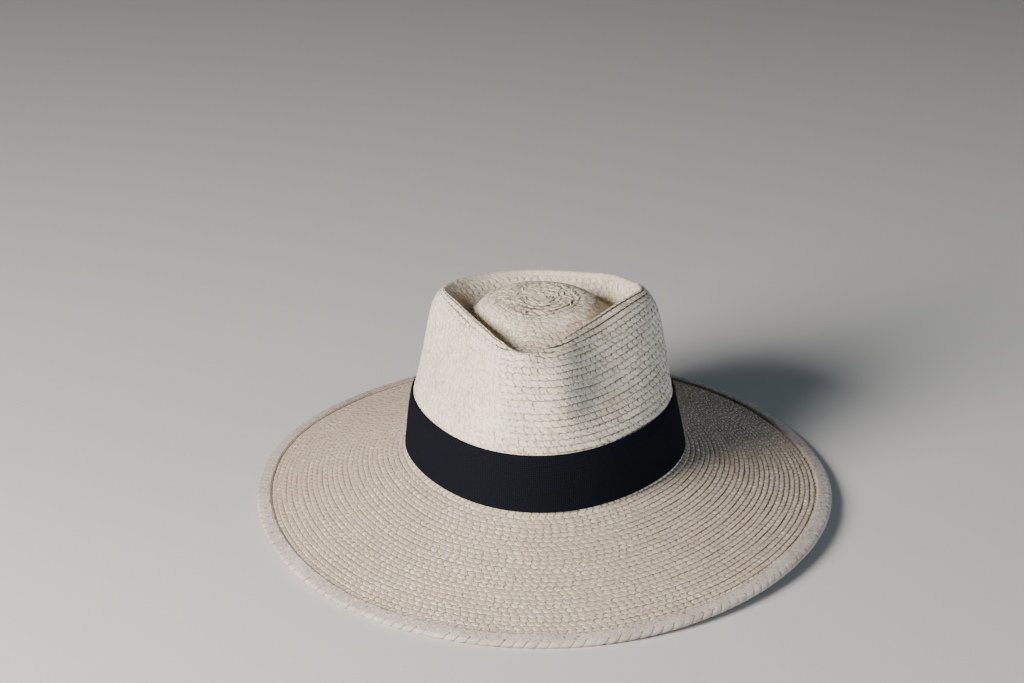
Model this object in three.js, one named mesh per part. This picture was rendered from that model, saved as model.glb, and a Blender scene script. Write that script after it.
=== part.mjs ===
// Palm leaf straw hat: a wide brimmed hat sewn from plaited palm leaf, with a teardrop crown, a braid
// folded round the edge of the brim and a black elastic band.
// Millimetres, +Z up. The front of the hat faces -Y and the edge of the brim rests on z = 0.
import * as THREE from 'three';

// Sizes that drive the hat
const HEAD_WIDTH = 167.4; // inside of the crown at its foot
const HEAD_LENGTH = 188.4;
const HEAD_SLIM = 0.038; // the head oval is this much slimmer than an ellipse, between its ends and its sides
const STRAW = 2; // sewn braid, two rows deep where they lap
const GAP = 0.3; // clearance between pieces
const BRIM_WIDTH = 356.4; // over all, to the outside of the binding
const BRIM_LENGTH = 384.2;
const FOOT_HEIGHT = 33; // foot of the crown above the floor
const CROWN_BACK = 3.6; // the crown sits this far behind the middle of the brim
const CROWN_LEAN = -0.04; // the crown leans a little to its right, as mm sideways for each mm up
const WALL_IN = { wide: 6.3, long: 2.3 }; // how far the crown's oval has drawn in at the top of the band
const BAND_FOOT = 0.6; // lower edge of the band above the foot
const BAND_TOP = 36.6;
const BAND_THICK = 1.2;
const BINDING_WIDTH = 7.5;
const BINDING_THICK = 1.2;
const SIDE_LIFT = 5; // the brim is bent up at its sides
const LIFT_TURNS = { left: -82, right: 65 }; // most of all in these directions
const LIFT_START = 0.3; // and rests where the squared cosine of the angle from them is less than this
const SETTLED = 0.4; // the binding is pressed flat by this much where it rests
const COLUMNS = 80; // sections round the hat

// The rim seen from above: an oval, cut by two straight folds that meet in a point at the front.
// turn: direction of the fold's nearest point, from the front towards +X. reach: its distance from the middle.
const RIM_OVAL = { halfWidth: 65, front: 95, back: 70 };
const FOLDS = [
  { turn: -58, reach: 48.5 },
  { turn: 57, reach: 48 },
];
const POINT_ROUND = 30; // how far the front point is rounded off
const CORNER_ROUND = 9; // how far the corners between the folds and the oval are rounded off

// The top of the crown, one row for each direction, from the back round by the front (0) to the back again.
// rim: height of the crest. lipIn, lipDrop: inner side of the fold, from the crest.
// moatReach: distance from the middle to the lowest line of the hollow. moat: its height.
// shoulderOut, shoulderDrop: outer side of the fold.
// hollow: how far the wall below is pressed in, halfway from the shoulder to the band.
const TOP_COLUMNS = [
  'turn', 'rim', 'lipIn', 'lipDrop', 'moatReach', 'moat', 'shoulderOut', 'shoulderDrop', 'hollow',
];
const CROWN_TOP = [
  [-180, 86.5, 6, 3, 53, 77, 6, 7, -2],
  [-135, 89.5, 5, 3, 50, 80, 5, 8, -2],
  [-95, 94.5, 4, 3.5, 47, 81, 8, 9.5, -1],
  [-50, 94.5, 3.5, 5, 42, 81, 4, 6, 2],
  [-28, 94.8, 3.5, 5, 45, 84, 5, 6, 0],
  [-12, 93, 4, 4, 52, 86.5, 7, 6, -4],
  [0, 91.7, 5, 2, 56, 87.5, 3, 6, -1],
  [15, 93.6, 4, 4, 51, 86.5, 7, 6, -4],
  [32, 95.5, 4, 5, 45, 85, 4, 6, 3.5],
  [50, 96.8, 3.5, 5, 42, 84, 4, 6, 4.5],
  [95, 99.3, 4, 3.5, 47, 83, 9, 9.5, -1],
  [135, 92, 5, 3, 50, 80, 5, 8, -2],
  [180, 86.5, 6, 3, 53, 77, 6, 7, -2],
].map((row) => Object.fromEntries(TOP_COLUMNS.map((column, index) => [column, row[index]])));
const BUTTON = { height: 96, edgeReach: 32, edgeDrop: 2 }; // the coil in the middle of the hollow

// The crown is cut from the brim behind the band. The brim slopes off steeply and flattens towards its edge.
const JOINT = 3;
const BRIM_ROOT = -1.4; // middle of the brim's wall where it leaves the foot
const BRIM_FLARE = 0.25; // 0 is a straight slope

// Rings between one key point of the crown's profile and the next, from the button to the joint
const CROWN_RINGS = [2, 3, 2, 2, 2, 2, 3, 2];
const BRIM_RINGS = 6;
const NOSE_STEP = 45; // degrees between the edges of the binding's rounded outside

const BINDING_INSIDE = STRAW / 2 + GAP;
const BINDING_OUTSIDE = BINDING_INSIDE + BINDING_THICK;

const radians = THREE.MathUtils.degToRad;
const degrees = THREE.MathUtils.radToDeg;

// Distance from the middle of an ellipse to its edge, in one direction
function ellipseReach(halfWidth, halfLength, turn) {
  return 1 / Math.hypot(Math.sin(turn) / halfWidth, Math.cos(turn) / halfLength);
}

// The lesser of two lengths, rounded off where they are alike
function softLesser(a, b, round) {
  return (a + b - Math.hypot(a - b, round)) / 2;
}

// A smooth curve through one column of the crown's table
function topSize(column, turn) {
  const angle = degrees(Math.atan2(Math.sin(turn), Math.cos(turn)));
  const last = CROWN_TOP.length - 1;
  const row = Math.min(last - 1, CROWN_TOP.findLastIndex((entry) => entry.turn <= angle));
  const slope = (index) => {
    if (index === 0 || index === last) return 0;
    const before = CROWN_TOP[index - 1];
    const after = CROWN_TOP[index + 1];
    return (after[column] - before[column]) / (after.turn - before.turn);
  };
  const from = CROWN_TOP[row];
  const to = CROWN_TOP[row + 1];
  const span = to.turn - from.turn;
  const t = (angle - from.turn) / span;
  const blend = t * t * (3 - 2 * t);
  const bend = t * (1 - t) * span * ((1 - t) * slope(row) - t * slope(row + 1));
  return from[column] + (to[column] - from[column]) * blend + bend;
}

// Distance from the middle of the crown to a fold, in one direction
function foldReach(fold, turn) {
  const far = 3 * RIM_OVAL.front;
  const across = Math.cos(turn - radians(fold.turn));
  return across > fold.reach / far ? fold.reach / across : far;
}

// Distance from the middle of the crown to the crest of its rim
function rimReach(turn) {
  const [left, right] = FOLDS.map((fold) => foldReach(fold, turn));
  const halfLength = Math.cos(turn) > 0 ? RIM_OVAL.front : RIM_OVAL.back;
  const oval = ellipseReach(RIM_OVAL.halfWidth, halfLength, turn);
  return softLesser(softLesser(left, right, POINT_ROUND), oval, CORNER_ROUND);
}

// Outside of the crown's wall, from its foot to the top of the band
function wallReach(turn, height) {
  const halfWidth = HEAD_WIDTH / 2 + STRAW - (WALL_IN.wide * height) / BAND_TOP;
  const halfLength = HEAD_LENGTH / 2 + STRAW - (WALL_IN.long * height) / BAND_TOP;
  return ellipseReach(halfWidth, halfLength, turn) * (1 - HEAD_SLIM * Math.sin(2 * turn) ** 2);
}

// The crown's outer profile in one direction, from the middle of the button down to the joint.
// A point is (reach from the middle, height above the foot).
function crownProfile(turn) {
  const size = (column) => topSize(column, turn);
  const crest = rimReach(turn);
  const shoulder = [crest + size('shoulderOut'), size('rim') - size('shoulderDrop')];
  const wallTop = [wallReach(turn, BAND_TOP), BAND_TOP];
  const keys = [
    [-BUTTON.edgeReach, BUTTON.height - BUTTON.edgeDrop],
    [0, BUTTON.height],
    [BUTTON.edgeReach, BUTTON.height - BUTTON.edgeDrop],
    [size('moatReach'), size('moat')],
    [crest - size('lipIn'), size('rim') - size('lipDrop')],
    [crest, size('rim')],
    shoulder,
    [(shoulder[0] + wallTop[0]) / 2 - size('hollow'), (shoulder[1] + wallTop[1]) / 2],
    wallTop,
    [wallReach(turn, JOINT), JOINT],
  ];
  const curve = new THREE.CatmullRomCurve3(keys.map(([reach, height]) => new THREE.Vector3(reach, height, 0)));
  const profile = [];
  CROWN_RINGS.forEach((rings, span) => {
    for (let ring = 0; ring < rings; ring += 1) {
      const point = curve.getPoint((1 + span + ring / rings) / (keys.length - 1));
      profile.push(new THREE.Vector2(point.x, point.y));
    }
  });
  profile.push(new THREE.Vector2(wallReach(turn, JOINT), JOINT));
  return profile;
}

// A profile moved sideways, to the right of the way it runs
function offsetProfile(profile, distance) {
  return profile.map((point, index) => {
    const before = profile[Math.max(0, index - 1)];
    const after = profile[Math.min(profile.length - 1, index + 1)];
    const along = after.clone().sub(before).normalize();
    return new THREE.Vector2(point.x + along.y * distance, point.y - along.x * distance);
  });
}

// A point of the hat, from its direction, its reach from the crown's middle and its height above the foot
function onHat(turn, { x: reach, y: height }) {
  const side = reach * Math.sin(turn) + Math.max(0, height) * CROWN_LEAN;
  return new THREE.Vector3(side, CROWN_BACK - reach * Math.cos(turn), FOOT_HEIGHT + height);
}

// Skin over sections set round the hat. A section is a loop of points that runs outwards over its top.
// With poles, all sections share their first point and their last.
function loft(sectionAt, poles = false) {
  const sections = Array.from({ length: COLUMNS }, (_, column) => sectionAt((column / COLUMNS) * 2 * Math.PI));
  const size = sections[0].length;
  const positions = [];
  const numbers = sections.map((section, column) => section.map((point, place) => {
    const atPole = poles && (place === 0 || place === size - 1);
    if (atPole && column > 0) return undefined;
    positions.push(point.x, point.y, point.z);
    return positions.length / 3 - 1;
  }));
  const vertex = (column, place) => numbers[column % COLUMNS][place % size] ?? numbers[0][place % size];
  const triangles = [];
  for (let column = 0; column < COLUMNS; column += 1) {
    for (let place = 0; place < (poles ? size - 1 : size); place += 1) {
      const near = [vertex(column, place), vertex(column, place + 1)];
      const next = [vertex(column + 1, place), vertex(column + 1, place + 1)];
      if (near[1] !== next[1]) triangles.push(near[0], near[1], next[1]);
      if (near[0] !== next[0]) triangles.push(near[0], next[1], next[0]);
    }
  }
  const geometry = new THREE.BufferGeometry();
  geometry.setAttribute('position', new THREE.Float32BufferAttribute(positions, 3));
  geometry.setIndex(triangles);
  geometry.computeVertexNormals();
  return geometry;
}

function crownGeometry() {
  return loft((turn) => {
    const outside = crownProfile(turn);
    const inside = offsetProfile(outside, STRAW);
    const foot = outside[outside.length - 1];
    inside[0].set(0, BUTTON.height - STRAW);
    inside[inside.length - 1].set(foot.x - STRAW, foot.y);
    return [...outside, ...inside.reverse()].map((point) => onHat(turn, point));
  }, true);
}

// Height of the brim's edge over the floor: it rests in front and behind, and is lifted at the sides
function edgeLift(turn) {
  const middle = radians(Math.sin(turn) < 0 ? LIFT_TURNS.left : LIFT_TURNS.right);
  const sideways = Math.max(0, Math.cos(turn - middle) ** 2 - LIFT_START) / (1 - LIFT_START);
  return SIDE_LIFT * sideways ** 1.5;
}

// Middle of the brim's wall at its edge, an ellipse about the middle of the brim
function brimEdge(turn) {
  const halfWidth = BRIM_WIDTH / 2 - BINDING_OUTSIDE;
  const halfLength = BRIM_LENGTH / 2 - BINDING_OUTSIDE;
  const square = (Math.sin(turn) / halfWidth) ** 2 + (Math.cos(turn) / halfLength) ** 2;
  const ahead = (CROWN_BACK * Math.cos(turn)) / halfLength ** 2;
  const inside = 1 - (CROWN_BACK / halfLength) ** 2;
  const reach = (ahead + Math.sqrt(ahead ** 2 + square * inside)) / square;
  return new THREE.Vector2(reach, BINDING_OUTSIDE - SETTLED + edgeLift(turn) - FOOT_HEIGHT);
}

// Middle of the brim's wall, from the joint behind the band to the edge
function brimProfile(turn) {
  const foot = wallReach(turn, 0) - STRAW / 2;
  const edge = brimEdge(turn);
  const profile = [
    new THREE.Vector2(wallReach(turn, JOINT - GAP) - STRAW / 2, JOINT - GAP),
    new THREE.Vector2(foot, BRIM_ROOT),
  ];
  for (let ring = 1; ring <= BRIM_RINGS; ring += 1) {
    const out = (ring / BRIM_RINGS) ** 1.4;
    const down = (1 - BRIM_FLARE) * out + BRIM_FLARE * (1 - (1 - out) ** 2);
    const reach = THREE.MathUtils.lerp(foot, edge.x, out);
    profile.push(new THREE.Vector2(reach, THREE.MathUtils.lerp(BRIM_ROOT, edge.y, down)));
  }
  return profile;
}

function brimGeometry() {
  return loft((turn) => {
    const middle = brimProfile(turn);
    const top = offsetProfile(middle, -STRAW / 2);
    const underside = offsetProfile(middle, STRAW / 2);
    top[0].set(middle[0].x + STRAW / 2, middle[0].y);
    underside[0].set(middle[0].x - STRAW / 2, middle[0].y);
    return [...top, ...underside.reverse()].map((point) => onHat(turn, point));
  });
}

// Section of the binding, folded round the end of the brim: (outwards along the brim, up from its middle)
function bindingSection() {
  const section = [[-BINDING_WIDTH, BINDING_OUTSIDE]];
  for (let angle = 90; angle >= -90; angle -= NOSE_STEP) {
    section.push([BINDING_OUTSIDE * Math.cos(radians(angle)), BINDING_OUTSIDE * Math.sin(radians(angle))]);
  }
  section.push([-BINDING_WIDTH, -BINDING_OUTSIDE], [-BINDING_WIDTH, -BINDING_INSIDE], [GAP, -BINDING_INSIDE]);
  section.push([GAP, BINDING_INSIDE], [-BINDING_WIDTH, BINDING_INSIDE]);
  return section;
}

function bindingGeometry() {
  const section = bindingSection();
  return loft((turn) => {
    const middle = brimProfile(turn);
    const edge = middle[middle.length - 1];
    const along = edge.clone().sub(middle[middle.length - 2]).normalize();
    return section.map(([out, up]) => {
      const reach = edge.x + out * along.x - up * along.y;
      const height = edge.y + out * along.y + up * along.x;
      return onHat(turn, new THREE.Vector2(reach, Math.max(-FOOT_HEIGHT, height)));
    });
  });
}

// The band follows the crown's wall, which the lowest rings of the crown give, and goes on over the joint
function bandGeometry() {
  const wallRings = CROWN_RINGS[CROWN_RINGS.length - 1] + 1;
  return loft((turn) => {
    const wall = crownProfile(turn).slice(-wallRings).reverse();
    wall.unshift(new THREE.Vector2(wallReach(turn, BAND_FOOT), BAND_FOOT));
    const side = (clearance) => wall.map((point) => new THREE.Vector2(point.x + clearance, point.y));
    return [...side(GAP), ...side(GAP + BAND_THICK).reverse()].map((point) => onHat(turn, point));
  });
}

function piece(name, geometry, color, roughness) {
  const mesh = new THREE.Mesh(geometry, new THREE.MeshStandardMaterial({ color, roughness, metalness: 0 }));
  mesh.name = name;
  return mesh;
}

const hat = new THREE.Group();
hat.name = 'palm_leaf_straw_hat';
hat.add(piece('crown', crownGeometry(), '#d8cdbd', 0.8));
hat.add(piece('brim', brimGeometry(), '#cdbfae', 0.8));
hat.add(piece('brim_binding', bindingGeometry(), '#d6ccc2', 0.75));
hat.add(piece('hat_band', bandGeometry(), '#15161a', 0.85));

export default hat;
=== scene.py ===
"""Palm leaf straw hat: lapped rows of plaited braid, a folded braid round the edge and an elastic band."""

import math

import bpy
import numpy as np
from mathutils import Matrix, Vector


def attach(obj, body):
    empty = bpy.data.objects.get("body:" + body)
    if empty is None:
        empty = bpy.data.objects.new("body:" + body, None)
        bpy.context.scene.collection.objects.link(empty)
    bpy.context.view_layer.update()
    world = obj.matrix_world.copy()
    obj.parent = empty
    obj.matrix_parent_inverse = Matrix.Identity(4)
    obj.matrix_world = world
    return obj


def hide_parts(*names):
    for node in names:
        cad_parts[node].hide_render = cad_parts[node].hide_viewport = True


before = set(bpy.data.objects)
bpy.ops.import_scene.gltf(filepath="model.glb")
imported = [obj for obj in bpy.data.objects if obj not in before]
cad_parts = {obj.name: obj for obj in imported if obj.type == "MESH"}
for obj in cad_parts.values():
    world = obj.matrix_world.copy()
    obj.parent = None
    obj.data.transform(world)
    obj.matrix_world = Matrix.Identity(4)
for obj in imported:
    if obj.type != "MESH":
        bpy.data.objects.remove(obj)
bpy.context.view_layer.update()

bl_info = {
    "name": "Palm leaf straw hat",
    "version": (1, 0, 0),
    "blender": (4, 5, 0),
    "location": "View3D > Sidebar > Hat",
    "description": "Sews a straw hat from plaited braid, binds its edge and fits its band",
    "category": "Add Mesh",
}

# Shape of the hat in millimetres, as in the part's source. The front faces -Y and a turn of 0 is the front.
MM = 0.001
HEAD_WIDTH = 167.4
HEAD_LENGTH = 188.4
HEAD_SLIM = 0.038
STRAW = 2.0
GAP = 0.3
BRIM_WIDTH = 356.4
BRIM_LENGTH = 384.2
FOOT_HEIGHT = 33.0
CROWN_BACK = 3.6
CROWN_LEAN = -0.04
WALL_IN_WIDE = 6.3
WALL_IN_LONG = 2.3
BAND_FOOT = 0.6
BAND_TOP = 36.6
BAND_THICK = 1.2
BINDING_WIDTH = 7.5
BINDING_THICK = 1.2
SIDE_LIFT = 5.0
LIFT_LEFT = math.radians(-82)
LIFT_RIGHT = math.radians(65)
LIFT_START = 0.3
LIFT_POWER = 1.5
SETTLED = 0.4
RIM_HALF_WIDTH = 65.0
RIM_FRONT = 95.0
RIM_BACK = 70.0
FOLDS = ((-58.0, 48.5), (57.0, 48.0))  # turn and reach of the two folds that meet in the front point
POINT_ROUND = 30.0
CORNER_ROUND = 9.0
BUTTON_HEIGHT = 96.0
BUTTON_REACH = 32.0
BUTTON_DROP = 2.0
JOINT = 3.0
CROWN_TUCK = 0.7  # the crown's last row reaches down to this height inside the brim, hidden by the band
BRIM_ROOT = -1.4
BRIM_FLARE = 0.25
BINDING_INSIDE = STRAW / 2 + GAP
BINDING_OUTSIDE = BINDING_INSIDE + BINDING_THICK

# The top of the crown: turn, rim, lip in, lip drop, moat reach, moat, shoulder out, shoulder drop, hollow
CROWN_TOP = (
    (-180, 86.5, 6, 3, 53, 77, 6, 7, -2),
    (-135, 89.5, 5, 3, 50, 80, 5, 8, -2),
    (-95, 94.5, 4, 3.5, 47, 81, 8, 9.5, -1),
    (-50, 94.5, 3.5, 5, 42, 81, 4, 6, 2),
    (-28, 94.8, 3.5, 5, 45, 84, 5, 6, 0),
    (-12, 93, 4, 4, 52, 86.5, 7, 6, -4),
    (0, 91.7, 5, 2, 56, 87.5, 3, 6, -1),
    (15, 93.6, 4, 4, 51, 86.5, 7, 6, -4),
    (32, 95.5, 4, 5, 45, 85, 4, 6, 3.5),
    (50, 96.8, 3.5, 5, 42, 84, 4, 6, 4.5),
    (95, 99.3, 4, 3.5, 47, 83, 9, 9.5, -1),
    (135, 92, 5, 3, 50, 80, 5, 8, -2),
    (180, 86.5, 6, 3, 53, 77, 6, 7, -2),
)
CURVE_STEPS = 40  # samples between two key points of the crown's profile
CREST = 4 * CURVE_STEPS
BAND_EDGE = 7 * CURVE_STEPS

# Rows of braid, counted outwards from the middle of the button and from the foot of the brim
CROWN_ROW = 3.87
ROWS_TO_BAND = 33.2
CROWN_ROWS = ROWS_TO_BAND + 9.2
CROWN_START = -0.4
TOP_END = ROWS_TO_BAND + 1.5  # the crown's braid ends behind the band
FOOT_START = ROWS_TO_BAND + 1.3  # where the braid of its foot begins
FOOT_LEVEL = CROWN_ROWS - 1.1  # and runs on level, not further down
BRIM_ROWS = 30
BRIM_START = 0.05
BRIM_END = BRIM_ROWS - 1.0  # the binding hides the last row
BRIM_PARTING = 15.5  # row at the back where one length of braid ends and the next begins
PARTING_LAP = 0.2
ROUND_ROWS = 6.5  # the coil of the button is round up to this row
ROUGH_ROWS = 7.2  # and is sewn roughly up to this one
PRESSED_ROWS = 4.0  # rows below the folds that are pressed together
LOOSE_ENDS = 60  # straw ends that stand out of the button
LOOSE_LENGTH = 7.0
LOOSE_HEIGHT = 0.4
LOOSE_PITCH = math.radians(-4)
LOOSE_UNEVENNESS = math.radians(6)
LOOSE_SPREAD = (0.02, 1.0)  # squares of their places, as shares of the coil's reach
LOOSE_SWING = 0.8  # radians that they stray from the coil's way
LOOSE_WIDTH = (0.4, 0.8)
LOOSE_RISE = 0.1
INNERMOST = 0.02  # nearest that a braid comes to the middle, in rows
CROWN_STRANDS_START = 0.2  # rows where the strands begin and end
BRIM_STRANDS_START = 0.45
BRIM_STRANDS_END = BRIM_ROWS - 1.6
FOLD_SPAN = (3.0, 18.0, 105.0, 135.0)  # turns over which the rows begin and cease to lie along the folds
ROW_STEPS = 720  # samples along one row
TURN_STEPS = 721  # directions of a surface
FINE_TURNS = 2881  # directions of the edge
BAND_TURNS = 1441  # directions of the band
FINENESS = 24  # samples across one row
BRIM_STEPS = 240  # samples from the foot to the edge
ROOT_STEPS = 12  # samples up from the foot to the joint
ROOT_PASSES = 40  # how often the bend at the foot is smoothed
PROBE_ALONG = 0.8  # how far a strand's own slopes are measured: millimetres along the braid
PROBE_ACROSS = 0.15  # and share across it
PROBE_TURN = 0.05  # radians in which the coil's way is measured
PROBE_EDGE = 12  # samples in which the brim's slope at its edge is measured
POLE_REACH = 1.0  # the surface faces straight up within this reach of the middle
SHARP_ANGLE = math.radians(55)  # edges sharper than this are shaded as edges

# How far the rows gape round the wall and round the brim: turn in degrees, and gape from 0 to 1
WALL_GAPE = ((-180, 0.6), (-130, 0.5), (-100, 0.15), (-20, 0.12), (-5, 0.5), (12, 0.72), (180, 0.65))
BRIM_GAPE = (
    (-180, 0.5),
    (-135, 0.2),
    (-85, 0.7),
    (-40, 0.7),
    (0, 0.45),
    (25, 0.6),
    (60, 0.8),
    (120, 0.85),
    (180, 0.5),
)
HOLLOW_GAPE = 0.08  # in the hollow of the top
FRONT_GAPE = 0.25  # more of it in the front of the hollow
FRONT_SPREAD = 0.8  # radians
FOLD_GAPE_LEFT = 1.4  # more of it along the folds
FOLD_GAPE_RIGHT = 0.75
FOLD_ROW = 0.9  # rows below the crest where a fold gapes most
FOLD_SPREAD = 1.1
FOLD_ONSET = 4  # how fast that begins at the crest, as a share for each row
COIL_GAPE = 0.7  # more of it in the coil of the button
COIL_START = 1.0  # row where it begins there, and the rows over which it grows
COIL_GROWTH = 1.5
COIL_LEAST = 0.05
COIL_TURN = 0.3  # radians that its widest side is turned from +X towards the front
COIL_SIDE_LEAST = 0.15
MOST_GAPE = 1.5

# Seeds of the random draws, by piece
SEEDS = {
    "crown_rows": 11,
    "crown_foot": 12,
    "brim_inner_rows": 21,
    "brim_outer_rows": 22,
    "crown_strands": 41,
    "button_ends": 43,
    "button_places": 44,
    "brim_inner_strands": 51,
    "brim_outer_strands": 61,
    "binding_strands": 71,
    "binding_fold": 72,
}

# Unevenness of the sewing: sideways in rows, up and down in millimetres, and the length of each wave
DRIFT = 0.05
DRIFT_WAVE = 60.0
ROUGH_DRIFT = 0.12
ROUGH_WAVE = 17.0
SWAY = 0.06
SWAY_ROUGH = 0.25
SWAY_WAVE = 23.0
PLAIT_SPREAD = 0.05
WAVES = 6  # waves in one wobble, and the shares of its length that they vary by
WAVE_SPREAD = (0.6, 1.9)

# Ring of the braid: share across it from its tucked edge to its showing one, swell and depth in millimetres
BRAID_OUTSIDE = (
    (0.00, 0.0, 0.0),
    (0.28, 0.3, 0.0),
    (0.46, 0.9, 0.0),
    (0.72, 1.0, 0.0),
    (0.94, 0.6, 0.05),
    (1.00, 0.2, 0.4),
)
BRAID_INSIDE = (
    (0.94, 0.4, 0.75),
    (0.55, 0.9, 0.8),
    (0.05, 0.2, 0.5),
)

# Columns along one plait: place as a share of its length, and relief in millimetres
PLAIT_COLUMNS = ((0.0, -0.14), (0.45, 0.08))
CHEVRON = 0.3  # how far the plait's sides run ahead of its middle, as a share of its length
CHEVRON_SHIFT = 0.26
CHEVRON_POWER = 1.5
NOTCH = -0.05  # how far the showing edge draws back between two plaits, as a share across the braid
BULGE = 0.02  # and stands out in the middle of one
SHOWING_EDGE = 0.9  # share across the braid where that edge begins
PRESSED_STEP = 0.05  # share of the step that is left where rows don't gape
PRESSED_RELIEF = 0.2  # share of the relief that is left there
ROUGH_RELIEF = 3  # how many times more uneven the roughly sewn rows are

# A flat strand of leaf: place along it, half width and height, as shares of its sizes
STRAND = (
    (-0.50, 0.17, 0.45),
    (-0.38, 0.36, 0.85),
    (-0.16, 0.48, 1.00),
    (0.10, 0.50, 0.90),
    (0.34, 0.43, 0.60),
    (0.50, 0.27, 0.15),
)
STRAND_SHEAR = 0.4  # how far its ends are cut on the slant, as a share of its length over its width
STRAND_BACK = ((-1.0, 0.0), (-0.74, 0.85), (0.0, 1.0), (0.74, 0.85), (1.0, 0.0))  # side and height, as shares
STRAND_SINK = 0.1  # how deep it lies in the braid, in millimetres
STRAND_PITCH = math.radians(2)  # each strand dips under the next one's tip
STRAND_SHARE = 0.98  # width of a strand, as a share of its row
STRAND_SLIM = 0.19  # how much less it is where a row gapes
STRAND_REACH = 1.22  # length of a strand, as a share of its plait
BRIM_REACH = 1.14  # the same on the brim, where the plaits are more open
STRAND_LENGTHS = (0.85, 1.12)  # shares of that length that the strands vary by
STRAND_SHARP = math.radians(30)  # edges of a strand sharper than this are shaded as edges
GROOVE = 0.3  # how much deeper the gap is where a row gapes, in millimetres
GROOVE_SHARE = 0.1  # width of the gap, as a share of the row that shows
CREST_BARE = 1.4  # rows inside a crest without strands, where they would stand out over it
CREST_CLEAR = 0.05  # rows outside it where they begin again

# Painted shade: width of the painted shade in the notches as a share of a plait, and strength of the painted
# shade along the strands' edges
BODY_NOTCH_SHADE = 0.2
BINDING_NOTCH_SHADE = 0.1
CROWN_EDGE_SHADE = 0.55
BRIM_EDGE_SHADE = 0.95
BINDING_EDGE_SHADE = 0.75

# The braid round the edge: two lanes of strands over the fold, and a rope along its nose
BINDING_STRAND = 3.5
BINDING_REACH = 1.25
BINDING_SLANT = math.radians(20)
BINDING_FLAT = 0.6  # height of its strands, as a share of the others'
BINDING_SINK = 0.12
BINDING_LANES = ((-1, 2.4), (1, 5.5))  # side that the strands slant to, and millimetres over the fold
LANE_SHIFT = 0.25  # how far each lane is moved along, as a share of a plait
NOSE_SLACK = 0.35  # how far the fold lies inside the solid's outside
FOLD_TAPER = 1.5  # millimetres over which its hems thin
FOLD_THIN = 0.64  # height that is left at a hem, as a share
HEM_IN = 0.3  # how far short of the outside's hem the inside ends
INSIDE_NOSE = 0.2  # how far the fold's inside lies out from the brim's edge
ROPE = 6.5  # length of one strand of the rope, how far it slants and how deep its groove is
ROPE_SLANT = 0.6
ROPE_GROOVE = 0.5
ROPE_SPAN = 2.5  # how far the rope reaches back from the nose, and over how much of that it fades
ROPE_FADE = 2.0
ROPE_LOOSENESS = (0.22, 0.6)
ROPE_SPARE = 9  # draws of looseness beyond the count of strands, for the slant

# The band: relief of its threads, and how its edges are rounded, in millimetres
THREAD_RELIEF = 0.06
BAND_SLACK = 0.1
EDGE_ROUND = 0.45
EDGE_WIDTH = 0.7
EDGE_BEVEL = 0.3

# Lights: name, turn from the hat's front towards +X, rise, size in metres, watts and colour
LIGHT_AIM = (0.0, 0.0, 0.06)
LIGHT_DISTANCE = 1.7
LIGHTS = (
    ("key_softbox", math.radians(-41), math.radians(25), 0.7, 70.0, (1.0, 0.968, 0.925)),
    ("fill_softbox", math.radians(83), math.radians(9), 0.9, 13.5, (0.64, 0.82, 1.0)),
)
SKY_COLOUR = (0.9, 0.94, 1.0, 1.0)
SKY_STRENGTH = 0.03
FLOOR_REACH = 6.0

# Camera fitted to the photograph, in metres, degrees and millimetres of lens and sensor
CAMERA_PLACE = (0.1320, -1.33881, 0.69199)
CAMERA_TURN = 6.485
CAMERA_DOWN = 23.685
CAMERA_ROLL = -0.127
CAMERA_LENS = 85
CAMERA_SENSOR = 36

# Kinds of node that are used often
MATH = "ShaderNodeMath"
MAP_RANGE = "ShaderNodeMapRange"
NOISE = "ShaderNodeTexNoise"
MIX = "ShaderNodeMix"
UV_MAP = "ShaderNodeUVMap"
COMBINE = "ShaderNodeCombineXYZ"
SEPARATE = "ShaderNodeSeparateXYZ"
INTEGER_MATH = "FunctionNodeIntegerMath"
RANDOM = "FunctionNodeRandomValue"

COLOUR = {"subtype": "COLOR", "size": 4}


class HatSizes(bpy.types.PropertyGroup):
    """Sizes of the braid and the band."""

    plait: bpy.props.FloatProperty(
        name="Plait length", description="Length of one plait along the braid", default=0.0048, unit="LENGTH"
    )
    lap: bpy.props.FloatProperty(
        name="Lap",
        description="Share of a row that is tucked under the one before it",
        default=0.38,
        subtype="FACTOR",
    )
    step: bpy.props.FloatProperty(
        name="Step",
        description="Height of the step from one row down to the next",
        default=0.0007,
        unit="LENGTH",
    )
    strand_height: bpy.props.FloatProperty(
        name="Strand height", description="Thickness of a strand", default=0.00017, unit="LENGTH"
    )
    slant: bpy.props.FloatProperty(
        name="Slant",
        description="Angle of the strands to their row",
        default=math.radians(8),
        unit="ROTATION",
    )
    unevenness: bpy.props.FloatProperty(
        name="Unevenness",
        description="How far each strand strays from its angle",
        default=math.radians(3.2),
        unit="ROTATION",
    )
    binding_plait: bpy.props.FloatProperty(
        name="Binding plait",
        description="Length of one plait of the edge braid",
        default=0.004,
        unit="LENGTH",
    )
    rib: bpy.props.FloatProperty(
        name="Rib", description="Distance between the ribs of the elastic band", default=0.0012, unit="LENGTH"
    )


def linear(code):
    """An sRGB hex colour as linear red, green, blue and alpha."""
    parts = [int(code[i : i + 2], 16) / 255 for i in (1, 3, 5)]
    return [c / 12.92 if c <= 0.04045 else ((c + 0.055) / 1.055) ** 2.4 for c in parts] + [1.0]


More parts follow.
